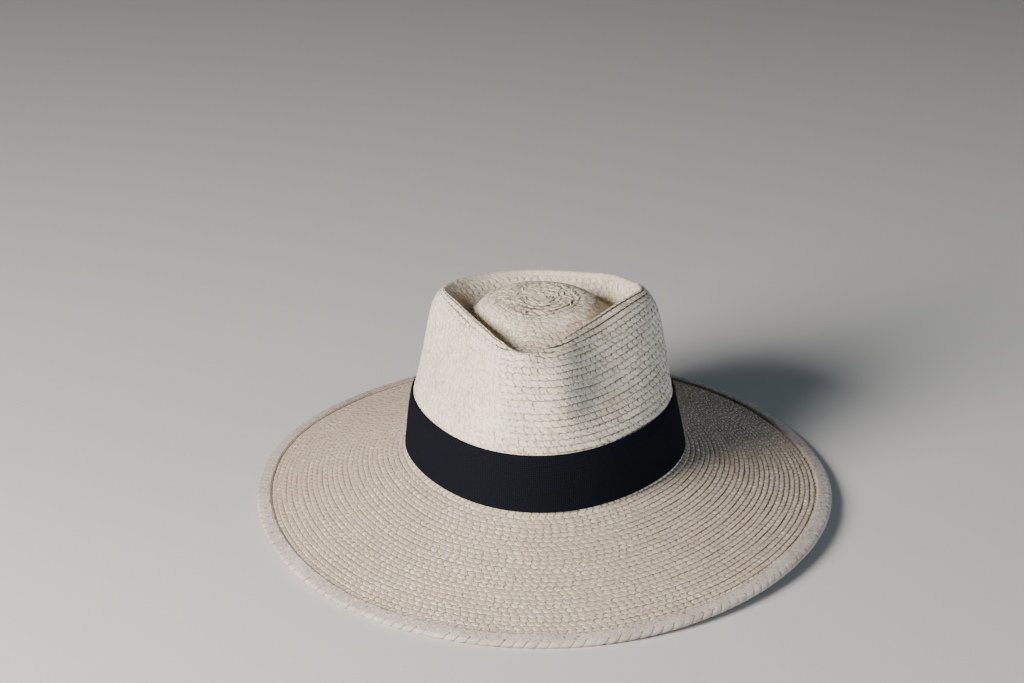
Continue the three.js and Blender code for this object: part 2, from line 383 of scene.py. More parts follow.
class HatColours(bpy.types.PropertyGroup):
    """Colours of the straw, the edge braid and the band."""

    # Partly painted light: the crown's straw is lighter than the brim's, partly for the light that falls on
    # the crown, partly for being more bleached.
    straw: bpy.props.FloatVectorProperty(
        name="Straw", description="Bleached palm leaf", default=linear("#f2e4d0"), **COLOUR
    )
    # Partly painted shade and painted warm bounced light: the brim's straw is darker and warmer than the
    # crown's, partly a real tan.
    brim_straw_tan_and_shade: bpy.props.FloatVectorProperty(
        name="Brim straw", description="Slightly tanned leaf of the brim", default=linear("#d3bdae"), **COLOUR
    )
    straw_tan: bpy.props.FloatVectorProperty(
        name="Tan straw", description="Less bleached strands", default=linear("#c6b192"), **COLOUR
    )
    # Painted shade between the strands, in their notches and along their edges and tips; also the colour of
    # the straw's own dark specks and streaks.
    straw_shade_and_specks: bpy.props.FloatVectorProperty(
        name="Straw gaps", description="Deep between the strands", default=linear("#6a5e4e"), **COLOUR
    )
    binding: bpy.props.FloatVectorProperty(
        name="Edge braid", description="Whiter palm leaf", default=linear("#d6c9c0"), **COLOUR
    )
    binding_tan: bpy.props.FloatVectorProperty(
        name="Edge braid shade", description="Its darker strands", default=linear("#8f7d6a"), **COLOUR
    )
    band: bpy.props.FloatVectorProperty(
        name="Band", description="Black elastic", default=linear("#0a0c11"), **COLOUR
    )
    floor: bpy.props.FloatVectorProperty(
        name="Floor", description="Pale studio floor", default=linear("#d9d7d3"), **COLOUR
    )


def ellipse_reach(half_width, half_length, turn):
    """Distance from the middle of an ellipse to its line."""
    return 1 / np.hypot(np.sin(turn) / half_width, np.cos(turn) / half_length)


def soft_lesser(a, b, rounding):
    """The lesser of two sizes, rounded where they meet."""
    return (a + b - np.hypot(a - b, rounding)) / 2


def top_sizes(turns):
    """The columns of the crown's table at these directions, on smooth curves through its rows."""
    table = np.array(CROWN_TOP, float)
    knots = np.radians(table[:, 0])
    values = table[:, 1:]
    slopes = np.zeros_like(values)
    slopes[1:-1] = (values[2:] - values[:-2]) / (knots[2:] - knots[:-2])[:, None]
    row = np.clip(np.searchsorted(knots, turns, side="right") - 1, 0, len(knots) - 2)
    span = (knots[row + 1] - knots[row])[:, None]
    t = (turns - knots[row])[:, None] / span
    blend = t * t * (3 - 2 * t)
    bend = t * (1 - t) * span * ((1 - t) * slopes[row] - t * slopes[row + 1])
    return (values[row] + (values[row + 1] - values[row]) * blend + bend).T


def rim_reach(turns):
    """Distance from the middle of the crown to the crest of its rim."""
    far = 3 * RIM_FRONT
    folds = []
    for fold_turn, reach in FOLDS:
        across = np.cos(turns - math.radians(fold_turn))
        folds.append(np.where(across > reach / far, reach / np.maximum(across, reach / far), far))
    half_length = np.where(np.cos(turns) > 0, RIM_FRONT, RIM_BACK)
    oval = ellipse_reach(RIM_HALF_WIDTH, half_length, turns)
    return soft_lesser(soft_lesser(folds[0], folds[1], POINT_ROUND), oval, CORNER_ROUND)


def wall_reach(turns, height):
    """Outside of the crown's wall, from its foot to the top of the band."""
    half_width = HEAD_WIDTH / 2 + STRAW - WALL_IN_WIDE * height / BAND_TOP
    half_length = HEAD_LENGTH / 2 + STRAW - WALL_IN_LONG * height / BAND_TOP
    return ellipse_reach(half_width, half_length, turns) * (1 - HEAD_SLIM * np.sin(2 * turns) ** 2)


def spline(keys):
    """A centripetal curve through each line of key points, sampled evenly between them."""
    ring = np.concatenate([2 * keys[:, :1] - keys[:, 1:2], keys, 2 * keys[:, -1:] - keys[:, -2:-1]], axis=1)
    gaps = np.linalg.norm(np.diff(ring, axis=1), axis=2, keepdims=True) ** 0.5
    p0, p1, p2, p3 = ring[:, :-3], ring[:, 1:-2], ring[:, 2:-1], ring[:, 3:]
    d0, d1, d2 = gaps[:, :-2], gaps[:, 1:-1], gaps[:, 2:]
    leave = ((p1 - p0) / d0 - (p2 - p0) / (d0 + d1) + (p2 - p1) / d1) * d1
    arrive = ((p2 - p1) / d1 - (p3 - p1) / (d1 + d2) + (p3 - p2) / d2) * d1
    w = np.linspace(0, 1, CURVE_STEPS, endpoint=False)[None, None, :, None]
    start, end, leave, arrive = (a[:, :, None] for a in (p1, p2, leave, arrive))
    square = 3 * (end - start) - 2 * leave - arrive
    cube = 2 * (start - end) + leave + arrive
    curve = start + leave * w + square * w**2 + cube * w**3
    curve = curve.reshape(len(keys), -1, keys.shape[2])
    return np.concatenate([curve, keys[:, -1:]], axis=1)


def crown_profiles(turns):
    """Outer profiles of the crown from the middle of the button to its foot, as reach and height."""
    rim, lip_in, lip_drop, moat_reach, moat, shoulder_out, shoulder_drop, hollow = top_sizes(turns)
    crest = rim_reach(turns)
    ones = np.ones_like(turns)
    shoulder = (crest + shoulder_out, rim - shoulder_drop)
    wall_top = wall_reach(turns, BAND_TOP)
    keys = [
        (-BUTTON_REACH * ones, (BUTTON_HEIGHT - BUTTON_DROP) * ones),
        (0 * ones, BUTTON_HEIGHT * ones),
        (BUTTON_REACH * ones, (BUTTON_HEIGHT - BUTTON_DROP) * ones),
        (moat_reach, moat),
        (crest - lip_in, rim - lip_drop),
        (crest, rim),
        shoulder,
        ((shoulder[0] + wall_top) / 2 - hollow, (shoulder[1] + BAND_TOP) / 2),
        (wall_top, BAND_TOP * ones),
        (wall_reach(turns, CROWN_TUCK), CROWN_TUCK * ones),
    ]
    keys = np.array(keys).transpose(2, 0, 1)
    return spline(keys)[:, CURVE_STEPS:]


def edge_lift(turns):
    """How far the brim's edge is lifted at the sides."""
    middle = np.where(np.sin(turns) < 0, LIFT_LEFT, LIFT_RIGHT)
    sideways = np.maximum(0, np.cos(turns - middle) ** 2 - LIFT_START) / (1 - LIFT_START)
    return SIDE_LIFT * sideways**LIFT_POWER


def brim_edge(turns):
    """Middle of the brim's wall at its edge, as reach and height."""
    half_width = BRIM_WIDTH / 2 - BINDING_OUTSIDE
    half_length = BRIM_LENGTH / 2 - BINDING_OUTSIDE
    square = (np.sin(turns) / half_width) ** 2 + (np.cos(turns) / half_length) ** 2
    ahead = CROWN_BACK * np.cos(turns) / half_length**2
    inside = 1 - (CROWN_BACK / half_length) ** 2
    reach = (ahead + np.sqrt(ahead**2 + square * inside)) / square
    return reach, BINDING_OUTSIDE - SETTLED + edge_lift(turns) - FOOT_HEIGHT


def brim_profiles(turns):
    """Middle of the brim's wall from the joint, round the foot and out to the edge."""
    foot = wall_reach(turns, 0) - STRAW / 2
    edge, edge_height = brim_edge(turns)
    out = np.linspace(0, 1, BRIM_STEPS)[1:]
    down = (1 - BRIM_FLARE) * out + BRIM_FLARE * (1 - (1 - out) ** 2)
    rise = np.linspace(JOINT - GAP, BRIM_ROOT, ROOT_STEPS)
    upright = np.stack([wall_reach(turns[:, None], rise) - STRAW / 2, np.tile(rise, (len(turns), 1))], axis=2)
    slope = np.stack(
        [
            foot[:, None] + (edge - foot)[:, None] * out,
            BRIM_ROOT + (edge_height - BRIM_ROOT)[:, None] * down,
        ],
        axis=2,
    )
    profile = np.concatenate([upright, slope], axis=1)
    bend = 2 * ROOT_STEPS
    for _ in range(ROOT_PASSES):
        before = profile[:, : bend - 1]
        after = profile[:, 2 : bend + 1]
        profile[:, 1:bend] = (before + 2 * profile[:, 1:bend] + after) / 4
    return profile


def offset_profiles(profiles, distance):
    """Profiles moved sideways, to the right of the way they run."""
    along = np.gradient(profiles, axis=1)
    along /= np.linalg.norm(along, axis=2, keepdims=True)
    return profiles + distance * np.stack([along[..., 1], -along[..., 0]], axis=2)


def on_hat(turns, reach, height):
    """Points of the hat, from direction, reach from the crown's middle and height above the foot."""
    side = reach * np.sin(turns) + np.maximum(0, height) * CROWN_LEAN
    return np.stack([side, CROWN_BACK - reach * np.cos(turns), FOOT_HEIGHT + height], axis=-1)


class Surface:
    """A skin round the hat, read by direction and by row."""

    def __init__(self, turns, rows, profiles, last_row, gape, crest):
        self.turns = turns
        self.crest = crest
        grid = np.arange(int(last_row * FINENESS) + 1) / FINENESS
        reach = np.array([np.interp(grid, r, p) for r, p in zip(rows, profiles[..., 0])])
        height = np.array([np.interp(grid, r, p) for r, p in zip(rows, profiles[..., 1])])
        self.points = on_hat(turns[:, None], reach, height)
        around = np.gradient(self.points, axis=0)
        around[0] = around[-1] = (self.points[1] - self.points[-2]) / 2
        outwards = np.gradient(self.points, axis=1)
        normals = np.cross(around, outwards)
        length = np.linalg.norm(normals, axis=2, keepdims=True)
        self.normals = -normals / np.maximum(length, 1e-9)
        near = reach[0] < POLE_REACH
        self.normals[:, near] = (0.0, 0.0, 1.0)
        self.gape = np.broadcast_to(gape(turns[:, None], grid[None, :]), reach.shape)[..., None]

    def at(self, turns, rows):
        """Points, outward normals and how far the rows gape, at these directions and rows."""
        wrapped = np.mod(turns + math.pi, 2 * math.pi) / (2 * math.pi) * (len(self.turns) - 1)
        across = np.clip(rows * FINENESS, 0, self.points.shape[1] - 1.001)
        i = np.minimum(wrapped.astype(int), len(self.turns) - 2)
        j = across.astype(int)
        a = (wrapped - i)[..., None]
        b = (across - j)[..., None]
        found = []
        for grid in (self.points, self.normals, self.gape):
            near = grid[i, j] * (1 - a) + grid[i + 1, j] * a
            far = grid[i, j + 1] * (1 - a) + grid[i + 1, j + 1] * a
            found.append(near * (1 - b) + far * b)
        return found


def crown_surface():
    """Outside of the crown. Its rows lie level on the wall and run on over the folds into the hollow."""
    turns = np.radians(np.linspace(-180, 180, TURN_STEPS))
    profiles = crown_profiles(turns)
    length = path_length(profiles)
    crest = length[:, CREST : CREST + 1]
    band = length[:, BAND_EDGE : BAND_EDGE + 1]
    level_crest = ROWS_TO_BAND - (band - crest) / CROWN_ROW
    sideways = np.abs(np.degrees(turns))
    folded = np.interp(sideways, FOLD_SPAN, (0.0, 1.0, 1.0, 0.0))
    corner = np.where(turns < 0, level_crest[turns < 0].min(), level_crest[turns > 0].min())
    pressed = (folded * (level_crest[:, 0] - corner))[:, None]
    at_crest = level_crest - pressed
    coil = ROUND_ROWS * CROWN_ROW
    hollow = ROUND_ROWS + (length - coil) / (crest - coil) * (at_crest - ROUND_ROWS)
    rows = np.where(length < coil, length / CROWN_ROW, hollow)
    down = (length - crest) / CROWN_ROW
    eased = np.clip(1 - down / PRESSED_ROWS, 0, 1)
    wall = level_crest + down - pressed * eased * eased * (3 - 2 * eased)
    rows = np.where(length < crest, rows, wall)

    def gape(turn, row):
        below = row - at_crest
        hollow = HOLLOW_GAPE + FRONT_GAPE * np.exp(-((turn / FRONT_SPREAD) ** 2))
        wall = np.where(below > 0, np.interp(np.degrees(turn), *zip(*WALL_GAPE)), hollow)
        near_fold = np.exp(-(((below - FOLD_ROW) / FOLD_SPREAD) ** 2))
        fold = near_fold * folded[:, None] * np.clip(FOLD_ONSET * below + 1, 0, 1)
        fold = fold * np.where(turn < 0, FOLD_GAPE_LEFT, FOLD_GAPE_RIGHT)
        coil = np.clip(ROUND_ROWS + 0.5 - row, 0, 1)
        coil = coil * np.clip((row - COIL_START) / COIL_GROWTH, COIL_LEAST, 1)
        coil = coil * np.clip(0.5 + 0.5 * np.sin(turn + COIL_TURN), COIL_SIDE_LEAST, 1)
        return np.clip(wall + fold + COIL_GAPE * coil, 0, MOST_GAPE)

    return Surface(turns, rows, profiles, CROWN_ROWS, gape, at_crest[:, 0])


def brim_surface():
    """Upper side of the brim, with the same count of rows all round."""
    turns = np.radians(np.linspace(-180, 180, TURN_STEPS))
    profiles = offset_profiles(brim_profiles(turns), -STRAW / 2)
    length = path_length(profiles)
    rows = length / length[:, -1:] * BRIM_ROWS

    def gape(turn, row):
        return np.interp(np.degrees(turn), *zip(*BRIM_GAPE))

    return Surface(turns, rows, profiles, BRIM_ROWS, gape, np.zeros_like(turns))


def path_length(paths):
    """Length from the start of each path to each of its points."""
    step = np.linalg.norm(np.diff(paths, axis=-2), axis=-1)
    return np.concatenate([np.zeros(step.shape[:-1] + (1,)), np.cumsum(step, axis=-1)], axis=-1)


def wobble(place, wavelength, seed):
    """A slow, uneven wave between about -1 and 1."""
    chance = np.random.default_rng(seed)
    total = np.zeros_like(place)
    for _ in range(WAVES):
        stretch = wavelength * chance.uniform(*WAVE_SPREAD)
        total += np.sin(2 * math.pi * place / stretch + chance.uniform(0, 2 * math.pi))
    return total / (WAVES / 2)


def tube_faces(columns, ring):
    """Quads of an open tube with this many columns and points in its ring."""
    column = np.arange(columns - 1)[:, None] * ring
    point = np.arange(ring)[None, :]
    after = (point + 1) % ring
    corners = [column + point, column + after, column + ring + after, column + ring + point]
    return np.stack(corners, axis=-1).reshape(-1, 4)


def add_object(name, data):
    """A new object of the scene with this data."""
    item = bpy.data.objects.new(name, data)
    bpy.context.scene.collection.objects.link(item)
    return item


def store(mesh, name, kind, numbers):
    """Keeps a number or a vector on each point of a mesh, for the node trees to read by name."""
    data = mesh.attributes.new(name, kind, "POINT").data
    data.foreach_set("vector" if kind == "FLOAT_VECTOR" else "value", numbers.astype(np.float32).ravel())


def make_piece(name, points, faces, uv, caps=()):
    """A mesh object from points in millimetres, quads, one UV for each point and the end caps' points."""
    mesh = bpy.data.meshes.new(name)
    mesh.vertices.add(len(points))
    mesh.vertices.foreach_set("co", (points * MM).astype(np.float32).ravel())
    corners = np.concatenate([faces.ravel(), *caps]).astype(np.int32)
    counts = np.concatenate([np.full(len(faces), 4), [len(cap) for cap in caps]]).astype(np.int32)
    starts = np.concatenate([[0], np.cumsum(counts)[:-1]]).astype(np.int32)
    mesh.loops.add(len(corners))
    mesh.loops.foreach_set("vertex_index", corners)
    mesh.polygons.add(len(counts))
    mesh.polygons.foreach_set("loop_start", starts)
    mesh.polygons.foreach_set("use_smooth", np.ones(len(counts), bool))
    layer = mesh.uv_layers.new(name="braid")
    layer.uv.foreach_set("vector", uv[corners].astype(np.float32).ravel())
    mesh.update(calc_edges=True)
    mesh.validate()
    mesh.set_sharp_from_angle(angle=SHARP_ANGLE)
    return add_object(name, mesh)


def place_piece(piece, node, material):
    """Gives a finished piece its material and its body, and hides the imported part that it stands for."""
    if material.name not in piece.data.materials:
        piece.data.materials.append(material)
    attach(piece, "root")
    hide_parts(node)


class Braid:
    """The way of one braid, sewn round and round so that each row laps over the next one out."""

    def __init__(self, surface, first, last, sizes, seed, rough_rows=0.0, level=math.inf):
        self.surface = surface
        self.rows = np.arange(first, last, 1 / ROW_STEPS)
        self.level = level
        centre = surface.at(2 * math.pi * self.rows, np.minimum(self.rows, level) + 0.5)[0]
        self.length = path_length(centre)
        self.lap = sizes.lap
        self.fall = sizes.step / MM * (1 + sizes.lap)
        self.plait = sizes.plait / MM
        self.plaits = int(self.length[-1] / self.plait)
        self.seed = seed
        self.rough_rows = rough_rows

    def at(self, place, across):
        """Points, normals, gape and roughness at these lengths along the braid and shares across it."""
        row = np.interp(place, self.length, self.rows)
        rough = np.clip(self.rough_rows - row, 0, 1)
        drift = DRIFT * wobble(place, DRIFT_WAVE, self.seed + 1)
        drift = drift + ROUGH_DRIFT * rough * wobble(place, ROUGH_WAVE, self.seed + 3)
        spot = np.minimum(row, self.level) + across * (1 + self.lap) - self.lap + drift
        points, normals, gape = self.surface.at(2 * math.pi * row, np.maximum(spot, INNERMOST))
        gape = gape[..., 0]
        open_share = PRESSED_STEP + (1 - PRESSED_STEP) * np.minimum(gape, 1)
        height = self.fall * open_share * (across - 1)
        height = height + (SWAY + SWAY_ROUGH * rough) * wobble(place, SWAY_WAVE, self.seed + 2)
        return points + normals * height[..., None], normals, gape, rough


def sew_braid(name, braid):
    """The body of a braid: one closed, flattened tube with a notch at each plait."""
    chance = np.random.default_rng(braid.seed)
    plait = np.repeat(np.arange(braid.plaits), len(PLAIT_COLUMNS))
    share, relief = np.tile(PLAIT_COLUMNS, (braid.plaits, 1)).T
    uneven = chance.normal(0, PLAIT_SPREAD, (2, braid.plaits))[:, plait]
    outside = np.array(BRAID_OUTSIDE)
    inside = np.array(BRAID_INSIDE)
    across, swell, depth = np.concatenate([outside, inside]).T
    side = np.repeat([1.0, -1.0], [len(outside), len(inside)])
    seen = np.clip(across * (1 + braid.lap) - braid.lap, 0, 1)
    chevron = CHEVRON * np.abs(2 * seen - 1) ** CHEVRON_POWER - CHEVRON_SHIFT
    place = (plait + share + uneven[0])[:, None] * braid.plait + braid.plait * chevron
    notch = np.where(share[:, None] == 0.0, NOTCH, BULGE) * (across > SHOWING_EDGE)
    points, normals, gape, rough = braid.at(place, across + notch)
    waves = side * relief[:, None] * (PRESSED_RELIEF + (1 - PRESSED_RELIEF) * gape)
    waves = waves + (1 + ROUGH_RELIEF * rough) * uneven[1][:, None]
    height = waves * swell - depth
    height = height - GROOVE * gape * ((side > 0) & (seen < GROOVE_SHARE))
    points = points + normals * height[..., None]
    ring = len(across)
    columns = len(plait)
    uv = np.stack(np.broadcast_arrays((plait + share)[:, None], side * across), axis=-1)
    ends = (np.arange(ring), (columns - 1) * ring + np.arange(ring)[::-1])
    piece = make_piece(name, points.reshape(-1, 3), tube_faces(columns, ring), uv.reshape(-1, 2), ends)
    # The gape also sets how dark the painted shade is in the notches and seams.
    store(piece.data, "gape", "FLOAT", gape)
    return piece


def strand_places(braid, first_row, last_row):
    """Where a braid's strands lie: points, way along, facing, the side they slant to and width."""
    plait = np.arange(braid.plaits)
    row = np.interp(plait * braid.plait, braid.length, braid.rows)
    turn = np.mod(2 * math.pi * row + math.pi, 2 * math.pi) - math.pi
    past_crest = row - np.interp(turn, braid.surface.turns, braid.surface.crest)
    dressed = (past_crest > CREST_CLEAR) | (past_crest < -CREST_BARE)
    plait = plait[(row > first_row) & (row < last_row) & dressed]
    place = (plait + 0.5) * braid.plait
    gape = braid.at(place, np.full(len(plait), 0.5))[2]
    share = STRAND_SHARE - STRAND_SLIM * gape
    middle = (1 - share / 2 + braid.lap) / (1 + braid.lap)
    points, normals, _, _ = braid.at(place, middle)
    along = braid.at(place + PROBE_ALONG, middle)[0] - braid.at(place - PROBE_ALONG, middle)[0]
    outwards = braid.at(place, middle + PROBE_ACROSS)[0] - braid.at(place, middle - PROBE_ACROSS)[0]
    facing = np.cross(outwards, along)
    facing *= np.sign(np.sum(facing * normals, axis=1, keepdims=True))
    facing /= np.linalg.norm(facing, axis=1, keepdims=True)
    width = share * np.linalg.norm(outwards, axis=1) / (2 * PROBE_ACROSS) / (1 + braid.lap)
    side = np.ones(len(plait))
    return points - STRAND_SINK * facing, along, facing, side, width


def loose_ends(surface, seed):
    """Where straw ends stand out of the button, in all directions."""
    chance = np.random.default_rng(seed)
    turns = chance.uniform(-math.pi, math.pi, LOOSE_ENDS)
    rows = ROUND_ROWS * np.sqrt(chance.uniform(*LOOSE_SPREAD, LOOSE_ENDS))
    points, normals, _ = surface.at(turns, rows)
    round_coil = surface.at(turns + PROBE_TURN, rows)[0] - points
    round_coil /= np.linalg.norm(round_coil, axis=1, keepdims=True)
    swing = chance.normal(0, LOOSE_SWING, LOOSE_ENDS)[:, None]
    along = np.cos(swing) * round_coil + np.sin(swing) * np.cross(normals, round_coil)
    side = chance.choice([-1.0, 1.0], LOOSE_ENDS)
    width = chance.uniform(*LOOSE_WIDTH, LOOSE_ENDS)
    return points + LOOSE_RISE * normals, along, normals, side, width


def strand_blade():
    """One flat strand of leaf with sloping edges, one unit long, wide and high."""
    corners = []
    flat = []
    for place, half_width, height in STRAND:
        for side, rise in STRAND_BACK:
            corners.append((place - STRAND_SHEAR * side * half_width, side * half_width, rise * height))
            flat.append((place + 0.5, side))
    ring = len(STRAND_BACK)
    last = ring * (len(STRAND) - 1)
    faces = []
    for i in range(0, last, ring):
        for k in range(ring - 1):
            faces.append((i + k, i + k + ring, i + k + ring + 1, i + k + 1))
    faces += [range(ring), range(last + ring - 1, last - 1, -1)]
    faces.append([*range(ring - 1, last + ring, ring), *range(last, -1, -ring)])
    mesh = bpy.data.meshes.new("strand_blade")
    mesh.from_pydata(corners, [], faces)
    layer = mesh.uv_layers.new(name="braid")
    for loop in mesh.loops:
        layer.uv[loop.index].vector = flat[loop.vertex_index]
    mesh.shade_smooth()
    mesh.set_sharp_from_angle(angle=STRAND_SHARP)
    return bpy.data.objects.new("strand_blade", mesh)


def strand_tree():
    """Geometry Nodes that lay one strand on each point, turned to its way and facing."""
    tree = bpy.data.node_groups.new("Plaited strands", "GeometryNodeTree")
    tree.is_modifier = True
    sockets = {
        "Places": "NodeSocketGeometry",
        "Strand": "NodeSocketObject",
        "Length": "NodeSocketFloat",
        "Height": "NodeSocketFloat",
        "Slant": "NodeSocketFloat",
        "Pitch": "NodeSocketFloat",
        "Unevenness": "NodeSocketFloat",
        "Seed": "NodeSocketInt",
        "Material": "NodeSocketMaterial",
    }
    for name, kind in sockets.items():
        tree.interface.new_socket(name=name, in_out="INPUT", socket_type=kind)
    tree.interface.new_socket(name="Strands", in_out="OUTPUT", socket_type="NodeSocketGeometry")
    given = add_node(tree, "NodeGroupInput", {})
    attributes = {"facing": "FLOAT_VECTOR", "along": "FLOAT_VECTOR", "side": "FLOAT", "room": "FLOAT"}
    read = {}
    for name, kind in attributes.items():
        read[name] = add_node(tree, "GeometryNodeInputNamedAttribute", {"Name": name}, data_type=kind)[0]
    axes = {0: read["facing"], 1: read["along"]}
    laid = add_node(tree, "FunctionNodeAxesToRotation", axes, primary_axis="Z", secondary_axis="X")[0]

    less = add_node(tree, MATH, {0: given["Unevenness"], 1: -1.0}, operation="MULTIPLY")[0]
    strays = []
    for shift in range(3):
        seed = add_node(tree, INTEGER_MATH, {0: given["Seed"], 1: shift}, operation="ADD")[0]
        spread = {2: less, 3: given["Unevenness"], "Seed": seed}
        strays.append(add_node(tree, RANDOM, spread, data_type="FLOAT")[1])
    slant = {0: given["Slant"], 1: read["side"], 2: strays[2]}
    swung = add_node(tree, MATH, slant, operation="MULTIPLY_ADD")[0]
    swung = add_node(tree, MATH, {0: swung, 1: -1.0}, operation="MULTIPLY")[0]
    pitched = add_node(tree, MATH, {0: given["Pitch"], 1: strays[1]})[0]
    angles = add_node(tree, COMBINE, {0: strays[0], 1: pitched, 2: swung})[0]
    swing = add_node(tree, "FunctionNodeEulerToRotation", {0: angles})[0]
    turned = add_node(tree, "FunctionNodeRotateRotation", {0: laid, 1: swing}, rotation_space="LOCAL")[0]

    seed = add_node(tree, INTEGER_MATH, {0: given["Seed"], 1: 7}, operation="ADD")[0]
    spread = {2: STRAND_LENGTHS[0], 3: STRAND_LENGTHS[1], "Seed": seed}
    grown = add_node(tree, RANDOM, spread, data_type="FLOAT")[1]
    length = add_node(tree, MATH, {0: given["Length"], 1: grown}, operation="MULTIPLY")[0]
    size = add_node(tree, COMBINE, {0: length, 1: read["room"], 2: given["Height"]})[0]
    blade = add_node(tree, "GeometryNodeObjectInfo", {"Object": given["Strand"]})["Geometry"]
    laying = {"Points": given["Places"], "Instance": blade, "Rotation": turned, "Scale": size}
    strands = add_node(tree, "GeometryNodeInstanceOnPoints", laying)[0]

    seed = add_node(tree, INTEGER_MATH, {0: given["Seed"], 1: 9}, operation="ADD")[0]
    tone = add_node(tree, RANDOM, {"Seed": seed}, data_type="FLOAT")[1]
    strands = add_node(
        tree,
        "GeometryNodeStoreNamedAttribute",
        {"Geometry": strands, "Name": "tone", "Value": tone},
        data_type="FLOAT",
        domain="INSTANCE",
    )[0]
    whole = add_node(tree, "GeometryNodeRealizeInstances", {0: strands})[0]
    dyed = add_node(tree, "GeometryNodeSetMaterial", {"Geometry": whole, "Material": given["Material"]})[0]
    add_node(tree, "NodeGroupOutput", {0: dyed})
    return tree


def lay_strands(name, places, values):
    """A plain mesh of strands laid on these places by the tree."""
    points, along, facing, side, room = places
    mesh = bpy.data.meshes.new("strand_places")
    mesh.vertices.add(len(points))
    mesh.vertices.foreach_set("co", (points * MM).astype(np.float32).ravel())
    store(mesh, "along", "FLOAT_VECTOR", along)
    store(mesh, "facing", "FLOAT_VECTOR", facing)
    store(mesh, "side", "FLOAT", side)
    store(mesh, "room", "FLOAT", room * MM)
    host = add_object("strand_places", mesh)
    tree = bpy.data.node_groups.get("Plaited strands") or strand_tree()
    values["Strand"] = bpy.data.objects.get("strand_blade") or strand_blade()
    modifier = host.modifiers.new("Strands", "NODES")
    modifier.node_group = tree
    for socket in tree.interface.items_tree:
        if socket.in_out == "INPUT" and socket.name in values:
            modifier[socket.identifier] = values[socket.name]
    graph = bpy.context.evaluated_depsgraph_get()
    dressed = host.evaluated_get(graph)
    whole = bpy.data.meshes.new_from_object(dressed, preserve_all_data_layers=True, depsgraph=graph)
    host.modifiers.remove(modifier)
    bpy.data.objects.remove(host)
    whole.name = name
    return add_object(name, whole)


def add_node(tree, kind, inputs, **settings):
    """Adds a node with its settings and inputs, which are values or other outputs. Returns its outputs."""
    node = tree.nodes.new(kind)
    for name, value in settings.items():
        setattr(node, name, value)
    for key, value in inputs.items():
        if isinstance(value, bpy.types.NodeSocket):
            tree.links.new(value, node.inputs[key])
        else:
            node.inputs[key].default_value = value
    return node.outputs


def new_material(name):
    """An empty node material and its tree."""
    material = bpy.data.materials.new(name)
    material.use_nodes = True
    material.node_tree.nodes.clear()
    return material, material.node_tree


def end_material(tree, surface):
    """Ends a material's tree with the shader of this surface."""
    shader = add_node(tree, "ShaderNodeBsdfPrincipled", surface)[0]
    add_node(tree, "ShaderNodeOutputMaterial", {"Surface": shader})


def leaf_shader(tree, colour, rise, gloss):
    """Ends a palm leaf material: a dry, faintly waxy surface."""
    bump = add_node(tree, "ShaderNodeBump", {"Strength": 0.5, "Distance": 0.2 * MM, "Height": rise})[0]
    rough = add_node(tree, MAP_RANGE, {"Value": gloss, "To Min": 0.5, "To Max": 0.75})[0]
    leaf = {"Base Color": colour, "Roughness": rough, "IOR": 1.5, "Normal": bump, "Specular IOR Level": 0.35}
    end_material(tree, leaf)


def palm_braid(name, pale, tan, gap, notch_shade):
    """Body of a braid: plaited leaf in cream and tan, with painted shade at each notch and where a row comes
    out from under the one before, and dark streaks of its own.
    """
    material, tree = new_material(name)
    uv = add_node(tree, UV_MAP, {}, uv_map="braid")[0]
    parts = add_node(tree, SEPARATE, {0: uv})
    slanted = {"Vector": uv, "Rotation": (0.0, 0.0, math.radians(35)), "Scale": (2.5, 7.0, 1.0)}
    turned = add_node(tree, "ShaderNodeMapping", slanted)[0]
    fibres = add_node(tree, NOISE, {"Vector": turned, "Scale": 1.0, "Detail": 2.0})[0]
    places = add_node(tree, "ShaderNodeTexCoord", {})["Object"]
    patches = add_node(tree, NOISE, {"Vector": places, "Scale": 1 / (30 * MM), "Detail": 3.0})[0]
    tone = add_node(tree, MATH, {0: fibres, 1: patches})[0]
    tone = add_node(tree, MAP_RANGE, {"Value": tone, "From Min": 0.75, "From Max": 1.5})[0]
    straw = add_node(tree, MIX, {"Factor": tone, 6: pale, 7: tan}, data_type="RGBA")[2]

    # Painted shade: the notches between plaits and the seam where a row comes out are painted dark, deeper
    # where the rows gape; the dashes are the straw's own streaks.
    gape = add_node(tree, "ShaderNodeAttribute", {}, attribute_name="gape")["Fac"]
    gaping = {"Value": gape, "From Min": 0.2, "From Max": 0.4, "To Min": 0.25, "To Max": 1.0}
    depth = add_node(tree, MAP_RANGE, gaping)[0]
    share = add_node(tree, MATH, {0: parts[0], 1: 0.5}, operation="PINGPONG")[0]
    cut = {"Value": share, "From Min": 0.0, "From Max": notch_shade, "To Min": depth, "To Max": 0.0}
    notch = add_node(tree, MAP_RANGE, cut, interpolation_type="SMOOTHSTEP")[0]
    inner = add_node(tree, MATH, {0: parts[1]}, operation="ABSOLUTE")[0]
    far_in = add_node(tree, MATH, {0: gape, 1: 0.2, 2: 0.3}, operation="MULTIPLY_ADD")[0]
    hidden = {"Value": inner, "From Min": 0.29, "From Max": far_in, "To Min": 0.95, "To Max": 0.0}
    seam_shade = add_node(tree, MAP_RANGE, hidden, interpolation_type="SMOOTHSTEP")[0]
    above = add_node(tree, MATH, {0: parts[1], 1: 0.0}, operation="GREATER_THAN")[0]
    for factor in (above, gape):
        seam_shade = add_node(tree, MATH, {0: seam_shade, 1: factor}, operation="MULTIPLY")[0]
    streaks = {"Value": fibres, "From Min": 0.6, "From Max": 0.75, "To Max": 0.35}
    dashes = add_node(tree, MAP_RANGE, streaks)[0]
    depth = notch
    for mark in (seam_shade, dashes):
        depth = add_node(tree, MATH, {0: depth, 1: mark}, operation="MAXIMUM")[0]
    straw = add_node(tree, MIX, {"Factor": depth, 6: straw, 7: gap}, data_type="RGBA")[2]
    rise = add_node(tree, MATH, {0: fibres, 1: depth}, operation="SUBTRACT")[0]
    leaf_shader(tree, straw, rise, fibres)
    return material


